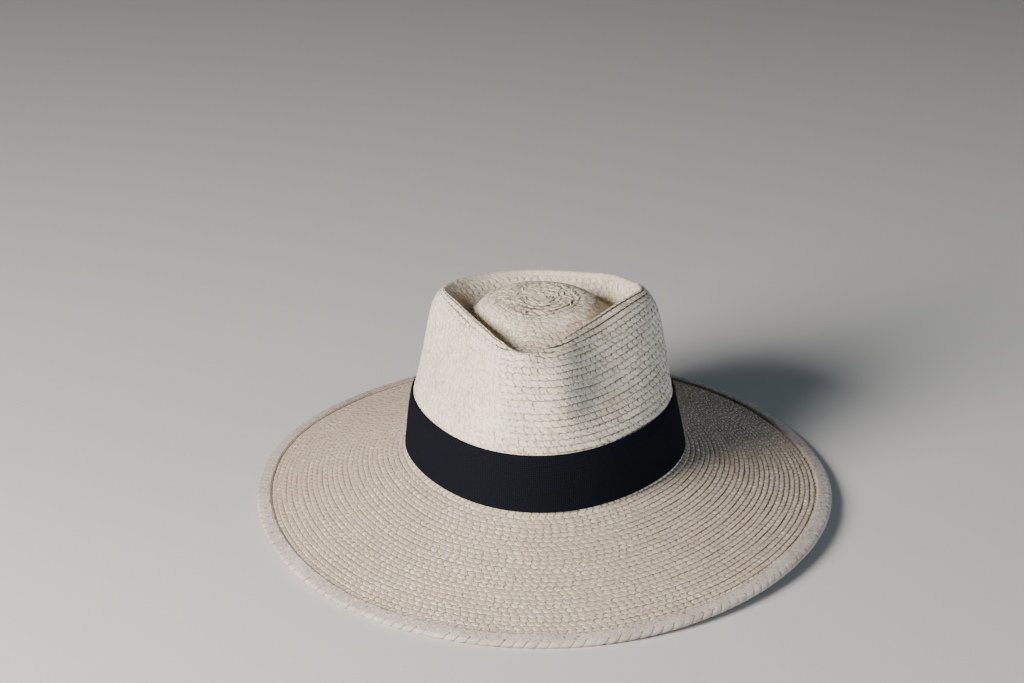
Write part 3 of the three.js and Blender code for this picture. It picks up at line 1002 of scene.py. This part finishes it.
def palm_strand(name, pale, tan, gap, edge_shade):
    """Split palm leaf: each strand its own cream or tan, streaked and specked, with painted shade along its
    edges and at its tip.
    """
    material, tree = new_material(name)
    uv = add_node(tree, UV_MAP, {}, uv_map="braid")[0]
    parts = add_node(tree, SEPARATE, {0: uv})
    own = add_node(tree, "ShaderNodeAttribute", {}, attribute_name="tone")["Fac"]
    far = add_node(tree, MATH, {0: own, 1: 60.0}, operation="MULTIPLY")[0]
    spread = add_node(tree, COMBINE, {0: parts[0], 1: parts[1], 2: far})[0]
    slanted = {"Vector": spread, "Rotation": (0.0, 0.0, math.radians(20)), "Scale": (3.8, 0.6, 1.0)}
    stretched = add_node(tree, "ShaderNodeMapping", slanted)[0]
    fibres = add_node(tree, NOISE, {"Vector": stretched, "Scale": 1.0, "Detail": 2.0})[0]
    places = add_node(tree, "ShaderNodeTexCoord", {})["Object"]
    patches = add_node(tree, NOISE, {"Vector": places, "Scale": 1 / (40 * MM), "Detail": 3.0})[0]
    specks = add_node(tree, NOISE, {"Vector": places, "Scale": 1 / (1.7 * MM), "Detail": 1.0})[0]
    rare = {"Value": specks, "From Min": 0.64, "From Max": 0.76, "To Max": 0.5}
    specks = add_node(tree, MAP_RANGE, rare)[0]
    tone = add_node(tree, MATH, {0: own, 1: 3.0}, operation="POWER")[0]
    tone = add_node(tree, MATH, {0: tone, 1: 0.15}, operation="MULTIPLY")[0]
    for marks, weight in ((fibres, 3.0), (patches, 0.9)):
        tone = add_node(tree, MATH, {0: marks, 1: weight, 2: tone}, operation="MULTIPLY_ADD")[0]
    tone = add_node(tree, MAP_RANGE, {"Value": tone, "From Min": 1.88, "From Max": 2.46})[0]
    straw = add_node(tree, MIX, {"Factor": tone, 6: pale, 7: tan}, data_type="RGBA")[2]

    # Painted shade along each strand's long edges, at random strength, and at its tip; the specks are the
    # leaf's own.
    side = add_node(tree, MATH, {0: parts[1]}, operation="ABSOLUTE")[0]
    outer = {"Value": side, "From Min": 0.78, "From Max": 1.0, "To Max": edge_shade}
    edge = add_node(tree, MAP_RANGE, outer, interpolation_type="SMOOTHSTEP")[0]
    chance = add_node(tree, "ShaderNodeTexWhiteNoise", {"W": own}, noise_dimensions="1D")["Value"]
    edge = add_node(tree, MATH, {0: edge, 1: chance}, operation="MULTIPLY")[0]
    reach = add_node(tree, MATH, {0: own, 1: 0.1, 2: 0.06}, operation="MULTIPLY_ADD")[0]
    ends = {"Value": parts[0], "From Min": 0.0, "From Max": reach, "To Min": 0.55, "To Max": 0.0}
    tip_shade = add_node(tree, MAP_RANGE, ends, interpolation_type="SMOOTHSTEP")[0]
    for mark in (tip_shade, specks):
        edge = add_node(tree, MATH, {0: edge, 1: mark}, operation="MAXIMUM")[0]
    straw = add_node(tree, MIX, {"Factor": edge, 6: straw, 7: gap}, data_type="RGBA")[2]
    leaf_shader(tree, straw, fibres, fibres)
    return material


def elastic_ribbon(colour):
    """Matt black woven elastic: a fine grid of threads with a painted sheen of a little cold light on each,
    uneven at random.
    """
    material, tree = new_material("Woven elastic")
    uv = add_node(tree, UV_MAP, {}, uv_map="braid")[0]
    grain = add_node(tree, NOISE, {"Vector": uv, "Scale": 1.3, "Detail": 2.0})[0]
    parts = add_node(tree, SEPARATE, {0: uv})
    for way in (0, 1):
        thread = add_node(tree, MATH, {0: parts[way], 1: 0.5}, operation="PINGPONG")[0]
        grain = add_node(tree, MATH, {0: thread, 1: 0.8, 2: grain}, operation="MULTIPLY_ADD")[0]
    # Painted sheen: each thread is painted a lighter bluish grey towards its middle, more or less at random.
    thread_sheen = [c * 2.6 + 0.002 for c in list(colour)[:3]] + [1.0]
    thread_sheen_share = add_node(tree, MAP_RANGE, {"Value": grain, "From Min": 0.75, "From Max": 1.3})[0]
    tint = add_node(tree, MIX, {"Factor": thread_sheen_share, 6: list(colour), 7: thread_sheen}, data_type="RGBA")[2]
    bump = add_node(tree, "ShaderNodeBump", {"Strength": 0.4, "Distance": 0.1 * MM, "Height": grain})[0]
    cloth = {"Base Color": tint, "Roughness": 0.85, "IOR": 1.5, "Normal": bump, "Specular IOR Level": 0.06}
    end_material(tree, cloth)
    return material


def studio_floor(colour):
    """Pale studio floor: matt, with faint broad clouds."""
    material, tree = new_material("Pale studio floor")
    places = add_node(tree, "ShaderNodeTexCoord", {})["Object"]
    cloudy = add_node(tree, NOISE, {"Vector": places, "Scale": 1.5, "Detail": 2.0})[0]
    deeper = [c * 0.94 for c in list(colour)[:3]] + [1.0]
    tint = add_node(tree, MIX, {"Factor": cloudy, 6: list(colour), 7: deeper}, data_type="RGBA")[2]
    end_material(tree, {"Base Color": tint, "Roughness": 0.75})
    return material


def strand_values(sizes, length, seed, material):
    """Inputs of the strands' tree."""
    return {
        "Length": length,
        "Height": sizes.strand_height,
        "Slant": sizes.slant,
        "Pitch": STRAND_PITCH,
        "Unevenness": sizes.unevenness,
        "Seed": seed,
        "Material": material,
    }


class HAT_OT_sew_crown(bpy.types.Operator):
    """Sew the crown from one braid, out from the button, over the rim and down behind the band"""

    bl_idname = "hat.sew_crown"
    bl_label = "Sew the crown"

    def execute(self, context):
        sizes = context.scene.hat_sizes
        colours = context.scene.hat_colours
        shades = (colours.straw, colours.straw_tan, colours.straw_shade_and_specks)
        surface = crown_surface()
        body = palm_braid("Palm braid", *shades, notch_shade=BODY_NOTCH_SHADE)
        leaf = palm_strand("Palm leaf strands", *shades, edge_shade=CROWN_EDGE_SHADE)
        top = Braid(surface, CROWN_START, TOP_END, sizes, SEEDS["crown_rows"], ROUGH_ROWS)
        foot = Braid(surface, FOOT_START, CROWN_ROWS, sizes, SEEDS["crown_foot"], level=FOOT_LEVEL)
        place_piece(sew_braid("crown_rows", top), "crown", body)
        place_piece(sew_braid("crown_foot", foot), "crown", body)
        places = strand_places(top, CROWN_STRANDS_START, ROWS_TO_BAND)
        values = strand_values(sizes, STRAND_REACH * sizes.plait, SEEDS["crown_strands"], leaf)
        place_piece(lay_strands("crown_strands", places, values), "crown", leaf)
        places = loose_ends(surface, SEEDS["button_places"])
        values = strand_values(sizes, LOOSE_LENGTH * MM, SEEDS["button_ends"], leaf)
        values.update({"Height": LOOSE_HEIGHT * MM, "Pitch": LOOSE_PITCH, "Unevenness": LOOSE_UNEVENNESS})
        place_piece(lay_strands("button_ends", places, values), "crown", leaf)
        return {"FINISHED"}


class HAT_OT_sew_brim(bpy.types.Operator):
    """Sew the brim on from the crown's foot, row by row to the edge"""

    bl_idname = "hat.sew_brim"
    bl_label = "Sew the brim"

    def execute(self, context):
        sizes = context.scene.hat_sizes
        colours = context.scene.hat_colours
        shades = (colours.brim_straw_tan_and_shade, colours.straw_tan, colours.straw_shade_and_specks)
        body = bpy.data.materials["Palm braid"]
        leaf = palm_strand("Tanned palm leaf strands", *shades, edge_shade=BRIM_EDGE_SHADE)
        surface = brim_surface()
        inner = Braid(surface, BRIM_START, BRIM_PARTING + PARTING_LAP, sizes, SEEDS["brim_inner_rows"])
        outer = Braid(surface, BRIM_PARTING, BRIM_END, sizes, SEEDS["brim_outer_rows"])
        place_piece(sew_braid("brim_inner_rows", inner), "brim", body)
        place_piece(sew_braid("brim_outer_rows", outer), "brim", body)
        for name, braid, first, last in (
            ("brim_inner_strands", inner, BRIM_STRANDS_START, BRIM_PARTING),
            ("brim_outer_strands", outer, BRIM_PARTING, BRIM_STRANDS_END),
        ):
            places = strand_places(braid, first, last)
            values = strand_values(sizes, BRIM_REACH * sizes.plait, SEEDS[name], leaf)
            place_piece(lay_strands(name, places, values), "brim", leaf)
        return {"FINISHED"}


class Fold:
    """Outside of the braid folded round the brim's edge, read by direction and distance over the fold."""

    def __init__(self):
        self.nose = BINDING_OUTSIDE - NOSE_SLACK
        self.turn_in = math.pi * self.nose
        self.whole = 2 * BINDING_WIDTH + self.turn_in
        self.turns = np.radians(np.linspace(-180, 180, FINE_TURNS))
        profile = brim_profiles(self.turns)
        way = profile[:, -1] - profile[:, -PROBE_EDGE]
        self.way = way / np.linalg.norm(way, axis=1, keepdims=True)
        self.length = path_length(on_hat(self.turns, *brim_edge(self.turns)))

    def section(self, over):
        """Place out from the brim's edge, height above its middle and bend, by distance over the fold."""
        bend = np.clip((over - BINDING_WIDTH) / self.nose, 0, math.pi)
        below = over - BINDING_WIDTH - self.turn_in
        past = np.where(below > 0, -below, self.nose * np.sin(bend))
        out = np.where(over < BINDING_WIDTH, over - BINDING_WIDTH, past)
        slim = np.clip(np.minimum(over, self.whole - over) / FOLD_TAPER, 0, 1)
        return out, self.nose * np.cos(bend) * (FOLD_THIN + (1 - FOLD_THIN) * slim), bend

    def place(self, turns, out, up):
        """Points at these directions, out from the edge and up from the brim's middle."""
        way_out = np.interp(turns, self.turns, self.way[:, 0])
        way_up = np.interp(turns, self.turns, self.way[:, 1])
        reach, height = brim_edge(turns)
        reach = reach + out * way_out - up * way_up
        height = height + out * way_up + up * way_out
        return on_hat(turns, reach, np.maximum(height, -FOOT_HEIGHT))

    def at(self, place, over, rise):
        """Points at these lengths round the edge and distances over the fold, raised from it."""
        turns = np.interp(np.mod(place, self.length[-1]), self.length, self.turns)
        out, up, bend = self.section(over)
        return self.place(turns, out + rise * np.sin(bend), up + rise * np.cos(bend))


def fold_braid(name, fold, columns, pitch):
    """The body of the binding: a closed ring of the fold, with a rope plaited along its nose."""
    over = np.concatenate(
        [
            np.linspace(0, BINDING_WIDTH, 8),
            BINDING_WIDTH + np.linspace(0, fold.turn_in, 9)[1:-1],
            BINDING_WIDTH + fold.turn_in + np.linspace(0, BINDING_WIDTH, 6),
        ]
    )
    ropes = round(fold.length[-1] / ROPE)
    rope = fold.length[-1] / ropes
    place = np.repeat((np.arange(columns) * pitch)[:, None], len(over), axis=1)
    strand = (place + ROPE_SLANT * (over - BINDING_WIDTH)) / rope
    from_hem = np.minimum(over, fold.whole - over)
    near_nose = np.clip((from_hem - BINDING_WIDTH + ROPE_SPAN) / ROPE_FADE, 0, 1)
    chance = np.random.default_rng(SEEDS[name])
    looseness = chance.uniform(*ROPE_LOOSENESS, ropes + ROPE_SPARE)
    loose = near_nose * looseness[np.round(strand).astype(int)]
    groove = -2 * ROPE_GROOVE * loose * np.abs(2 * np.mod(strand, 1) - 1) ** 4
    outside = fold.at(place, np.broadcast_to(over, place.shape), groove)
    hem = HEM_IN - BINDING_WIDTH
    inside_out = np.array([hem, INSIDE_NOSE, INSIDE_NOSE, hem])
    inside_up = np.array([-1.0, -1.0, 1.0, 1.0]) * BINDING_INSIDE
    turns = np.interp(np.arange(columns) * pitch, fold.length, fold.turns)[:, None]
    inside = fold.place(np.repeat(turns, 4, axis=1), inside_out, inside_up)
    points = np.concatenate([outside, inside], axis=1)
    ring = points.shape[1]
    faces = tube_faces(columns + 1, ring) % (columns * ring)
    uv = np.stack(np.broadcast_arrays(strand, 1 + over / BINDING_STRAND), axis=-1)
    uv = np.concatenate([uv, np.repeat(uv[:, -1:], 4, axis=1)], axis=1)
    piece = make_piece(name, points.reshape(-1, 3), faces, uv.reshape(-1, 2))
    loose = np.concatenate([loose, np.zeros((columns, 4))], axis=1)
    # The looseness is kept as the gape, which also deepens the painted shade between the rope's strands.
    store(piece.data, "gape", "FLOAT", loose)
    return piece


def fold_places(fold, plaits, pitch):
    """Where the binding's strands lie, in lanes that slant to either side, as strand_places gives them."""
    found = []
    for side, lane in BINDING_LANES:
        spot = (np.arange(plaits) + LANE_SHIFT * side) * pitch
        level = np.full(plaits, lane)
        middle = fold.at(spot, level, -BINDING_SINK)
        along = fold.at(spot + 0.5, level, 0.0) - fold.at(spot - 0.5, level, 0.0)
        outwards = fold.at(spot, level + 0.5, 0.0) - fold.at(spot, level - 0.5, 0.0)
        facing = np.cross(along, outwards)
        facing *= np.sign(np.sum(facing * (fold.at(spot, level, 1.0) - middle), axis=1, keepdims=True))
        found.append((middle, along, facing, np.full(plaits, float(side)), np.full(plaits, BINDING_STRAND)))
    return [np.concatenate(parts) for parts in zip(*found)]


class HAT_OT_bind_edge(bpy.types.Operator):
    """Fold the wider, whiter braid round the edge of the brim"""

    bl_idname = "hat.bind_edge"
    bl_label = "Bind the edge"

    def execute(self, context):
        sizes = context.scene.hat_sizes
        colours = context.scene.hat_colours
        shades = (colours.binding, colours.binding_tan, colours.straw_shade_and_specks)
        fold = Fold()
        plaits = int(round(fold.length[-1] / (sizes.binding_plait / MM)))
        pitch = fold.length[-1] / plaits
        body = palm_braid("Bleached palm braid", *shades, notch_shade=BINDING_NOTCH_SHADE)
        piece = fold_braid("binding_fold", fold, 4 * plaits, pitch / 4)
        place_piece(piece, "brim_binding", body)
        leaf = palm_strand("Bleached palm leaf strands", *shades, edge_shade=BINDING_EDGE_SHADE)
        places = fold_places(fold, plaits, pitch)
        values = strand_values(sizes, BINDING_REACH * sizes.binding_plait, SEEDS["binding_strands"], leaf)
        values.update({"Height": BINDING_FLAT * sizes.strand_height, "Slant": BINDING_SLANT})
        place_piece(lay_strands("binding_strands", places, values), "brim_binding", leaf)
        return {"FINISHED"}


class HAT_OT_fit_band(bpy.types.Operator):
    """Stretch the ribbed elastic band round the foot of the crown"""

    bl_idname = "hat.fit_band"
    bl_label = "Fit the band"

    def execute(self, context):
        sizes = context.scene.hat_sizes
        rib = sizes.rib / MM
        around = np.radians(np.linspace(-180, 180, BAND_TURNS))
        wall = on_hat(around, wall_reach(around, BAND_TOP / 2), np.full_like(around, BAND_TOP / 2))
        length = path_length(wall)
        ribs = int(round(length[-1] / rib))
        columns = 2 * ribs
        turns = np.interp(np.arange(columns) / columns * length[-1], length, around)
        profile = crown_profiles(turns)[:, BAND_EDGE:]
        levels = int(round((BAND_TOP - BAND_FOOT) / rib))
        heights = np.linspace(BAND_FOOT, BAND_TOP, 2 * levels + 1)
        reach = np.empty((columns, len(heights)))
        for i, line in enumerate(profile[:, ::-1]):
            foot = wall_reach(turns[i], BAND_FOOT)
            reach[i] = np.interp(heights, [BAND_FOOT, *line[:, 1]], [foot, *line[:, 0]])
        across = np.arange(columns)[:, None] % 2 * 2 - 1
        up = np.arange(len(heights)) % 2 * 2 - 1
        thread = THREAD_RELIEF * across * up
        edge = np.minimum(heights - BAND_FOOT, BAND_TOP - heights)
        rounding = EDGE_ROUND * np.clip(1 - edge / EDGE_WIDTH, 0, 1) ** 2
        outside = reach + GAP + BAND_THICK - BAND_SLACK + thread - rounding
        back = np.array([2 * levels, levels, 0])
        inside = reach[:, back] + GAP
        section_reach = np.concatenate([outside, inside], axis=1)
        section_height = np.concatenate([heights, heights[back] + EDGE_BEVEL * np.array([-1, 0, 1])])
        points = on_hat(turns[:, None], section_reach, np.broadcast_to(section_height, section_reach.shape))
        ring = section_reach.shape[1]
        faces = tube_faces(columns + 1, ring) % (columns * ring)
        threads = np.broadcast_arrays((np.arange(columns) / 2)[:, None], (section_height / rib)[None, :])
        uv = np.stack(threads, axis=-1)
        piece = make_piece("elastic_band", points.reshape(-1, 3), faces[:, ::-1], uv.reshape(-1, 2))
        place_piece(piece, "hat_band", elastic_ribbon(context.scene.hat_colours.band))
        return {"FINISHED"}


class HAT_OT_set_stage(bpy.types.Operator):
    """Lay the floor, hang the lights and set the camera"""

    bl_idname = "hat.set_stage"
    bl_label = "Set the stage"

    def execute(self, context):
        scene = context.scene
        material = studio_floor(scene.hat_colours.floor)
        mesh = bpy.data.meshes.new("floor")
        far = FLOOR_REACH
        mesh.from_pydata([(-far, -far, 0), (far, -far, 0), (far, far, 0), (-far, far, 0)], [], [(0, 1, 2, 3)])
        mesh.materials.append(material)
        floor = add_object("floor", mesh)

        world = bpy.data.worlds.new("Studio")
        world.use_nodes = True
        tree = world.node_tree
        tree.nodes.clear()
        sky = add_node(tree, "ShaderNodeBackground", {"Color": SKY_COLOUR, "Strength": SKY_STRENGTH})[0]
        add_node(tree, "ShaderNodeOutputWorld", {"Surface": sky})
        scene.world = world

        aim = Vector(LIGHT_AIM)
        for name, azimuth, elevation, size, power, colour in LIGHTS:
            lamp = bpy.data.lights.new(name, "AREA")
            lamp.size = size
            lamp.energy = power
            lamp.color = colour
            light = add_object(name, lamp)
            level = LIGHT_DISTANCE * math.cos(elevation)
            rise = LIGHT_DISTANCE * math.sin(elevation)
            light.location = aim + Vector((level * math.sin(azimuth), -level * math.cos(azimuth), rise))
            light.rotation_euler = (aim - light.location).to_track_quat("-Z", "Y").to_euler()

        lens = bpy.data.cameras.new("photo_camera")
        lens.lens = CAMERA_LENS
        lens.sensor_width = CAMERA_SENSOR
        lens.sensor_fit = "HORIZONTAL"
        camera = add_object("photo_camera", lens)
        turned = Matrix.Rotation(math.radians(CAMERA_TURN), 4, "Z")
        tipped = Matrix.Rotation(math.radians(90 - CAMERA_DOWN), 4, "X")
        rolled = Matrix.Rotation(math.radians(CAMERA_ROLL), 4, "Z")
        camera.matrix_world = Matrix.Translation(CAMERA_PLACE) @ turned @ tipped @ rolled
        scene.camera = camera
        return {"FINISHED"}


class HAT_PT_pieces(bpy.types.Panel):
    """The hat's pieces, in the order in which they are made"""

    bl_idname = "HAT_PT_pieces"
    bl_label = "Palm leaf straw hat"
    bl_space_type = "VIEW_3D"
    bl_region_type = "UI"
    bl_category = "Hat"

    def draw(self, context):
        layout = self.layout
        for group in (context.scene.hat_sizes, context.scene.hat_colours):
            for name in group.__annotations__:
                layout.prop(group, name)
        for operator in OPERATORS:
            layout.operator(operator.bl_idname)


OPERATORS = (HAT_OT_sew_crown, HAT_OT_sew_brim, HAT_OT_bind_edge, HAT_OT_fit_band, HAT_OT_set_stage)
CLASSES = (HatSizes, HatColours, *OPERATORS, HAT_PT_pieces)


def register():
    for cls in CLASSES:
        bpy.utils.register_class(cls)
    bpy.types.Scene.hat_sizes = bpy.props.PointerProperty(type=HatSizes)
    bpy.types.Scene.hat_colours = bpy.props.PointerProperty(type=HatColours)


def unregister():
    del bpy.types.Scene.hat_colours
    del bpy.types.Scene.hat_sizes
    for cls in reversed(CLASSES):
        bpy.utils.unregister_class(cls)


def main():
    register()
    bpy.ops.hat.sew_crown()
    bpy.ops.hat.sew_brim()
    bpy.ops.hat.bind_edge()
    bpy.ops.hat.fit_band()
    bpy.ops.hat.set_stage()


if __name__ == "__main__":
    main()
